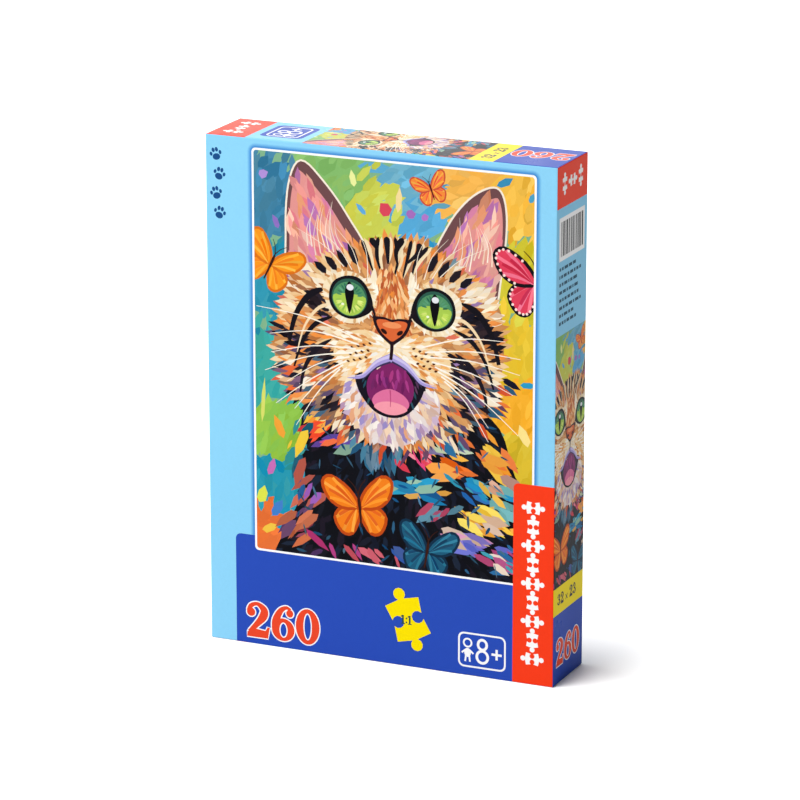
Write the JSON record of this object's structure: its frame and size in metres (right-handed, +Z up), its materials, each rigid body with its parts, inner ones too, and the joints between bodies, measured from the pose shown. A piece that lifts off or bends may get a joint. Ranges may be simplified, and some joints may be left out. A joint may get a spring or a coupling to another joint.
{
  "type": "boxed jigsaw puzzle",
  "caption": "Upright telescoping lid-and-base box of wrapped greyboard with a printed lid, holding a clear bag of loose interlocking jigsaw pieces.",
  "frame": {"origin": "centre of the closed box's footprint, on the surface it stands on", "axes": "+Z up the long side of the standing box, the printed front of the lid faces -Y, the back of the base faces +Y, +X to the right seen from the front"},
  "size_m": [0.175, 0.037, 0.245],
  "materials": {
    "printed_wrap": "litho printed paper with a gloss varnish",
    "plain_wrap": "light blue coated paper, printed on the back panel only",
    "greyboard": "bare recycled greyboard",
    "clear_film": "clear polyethylene film",
    "piece_board": "printed and varnished on one side, bare board on the back and the cut edges"
  },
  "bodies": {
    "base": {"base_board": "greyboard", "base_wrap": "plain_wrap"},
    "lid": {"lid_board": "greyboard", "lid_wrap": "printed_wrap"},
    "bag": {"poly_bag": "clear_film", "piece_heap": "piece_board", "puzzle_piece_01": "piece_board", "puzzle_piece_02": "piece_board", "puzzle_piece_03": "piece_board", "puzzle_piece_04": "piece_board", "puzzle_piece_05": "piece_board", "puzzle_piece_06": "piece_board", "puzzle_piece_07": "piece_board", "puzzle_piece_08": "piece_board", "puzzle_piece_09": "piece_board", "puzzle_piece_10": "piece_board", "puzzle_piece_11": "piece_board", "puzzle_piece_12": "piece_board", "puzzle_piece_13": "piece_board", "puzzle_piece_14": "piece_board", "puzzle_piece_15": "piece_board", "puzzle_piece_16": "piece_board", "puzzle_piece_17": "piece_board", "puzzle_piece_18": "piece_board", "puzzle_piece_19": "piece_board", "puzzle_piece_20": "piece_board", "puzzle_piece_21": "piece_board", "puzzle_piece_22": "piece_board", "puzzle_piece_23": "piece_board", "puzzle_piece_24": "piece_board", "puzzle_piece_25": "piece_board", "puzzle_piece_26": "piece_board", "puzzle_piece_27": "piece_board", "puzzle_piece_28": "piece_board", "puzzle_piece_29": "piece_board", "puzzle_piece_30": "piece_board", "puzzle_piece_31": "piece_board", "puzzle_piece_32": "piece_board", "puzzle_piece_33": "piece_board", "puzzle_piece_34": "piece_board", "puzzle_piece_35": "piece_board", "puzzle_piece_36": "piece_board", "puzzle_piece_37": "piece_board", "puzzle_piece_38": "piece_board", "puzzle_piece_39": "piece_board", "puzzle_piece_40": "piece_board", "puzzle_piece_41": "piece_board", "puzzle_piece_42": "piece_board", "puzzle_piece_43": "piece_board", "puzzle_piece_44": "piece_board", "puzzle_piece_45": "piece_board", "puzzle_piece_46": "piece_board", "puzzle_piece_47": "piece_board", "puzzle_piece_48": "piece_board"}
  },
  "joints": [
    {"name": "lid_lift", "type": "slide", "parent": "base", "child": "lid", "axis": [0, -1, 0], "range_m": [0, 0.15]},
    {"name": "bag_slide", "type": "slide", "parent": "base", "child": "bag", "axis": [0, 0, -1], "range_m": [-0.064, 0]}
  ]
}
